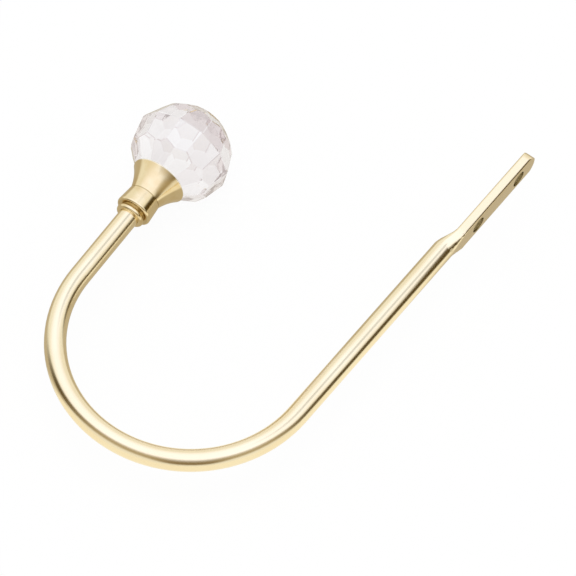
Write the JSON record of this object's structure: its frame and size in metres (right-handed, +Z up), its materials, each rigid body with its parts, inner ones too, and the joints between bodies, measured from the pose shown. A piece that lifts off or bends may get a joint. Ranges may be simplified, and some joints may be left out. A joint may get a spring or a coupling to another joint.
{
  "type": "curtain holdback",
  "caption": "U-shaped gold rod with a flat screw plate at one end and a faceted crystal ball in a flared cup at the other, fixed to a wall to hold a drawn curtain.",
  "frame": {"origin": "midway between the screw holes, on the plate's face that lies on the wall", "axes": "+Y into the wall, legs of the U along X with their free ends towards -X, +Z up when fixed to the wall"},
  "size_m": [0.1546, 0.0994, 0.0314],
  "materials": {
    "satin_gold": "satin",
    "polished_gold": "polished",
    "crystal": "clear, cut facets"
  },
  "bodies": {
    "root": {"hook_rod": "satin_gold", "ball_cup": "polished_gold", "crystal_ball": "crystal"}
  },
  "joints": []
}
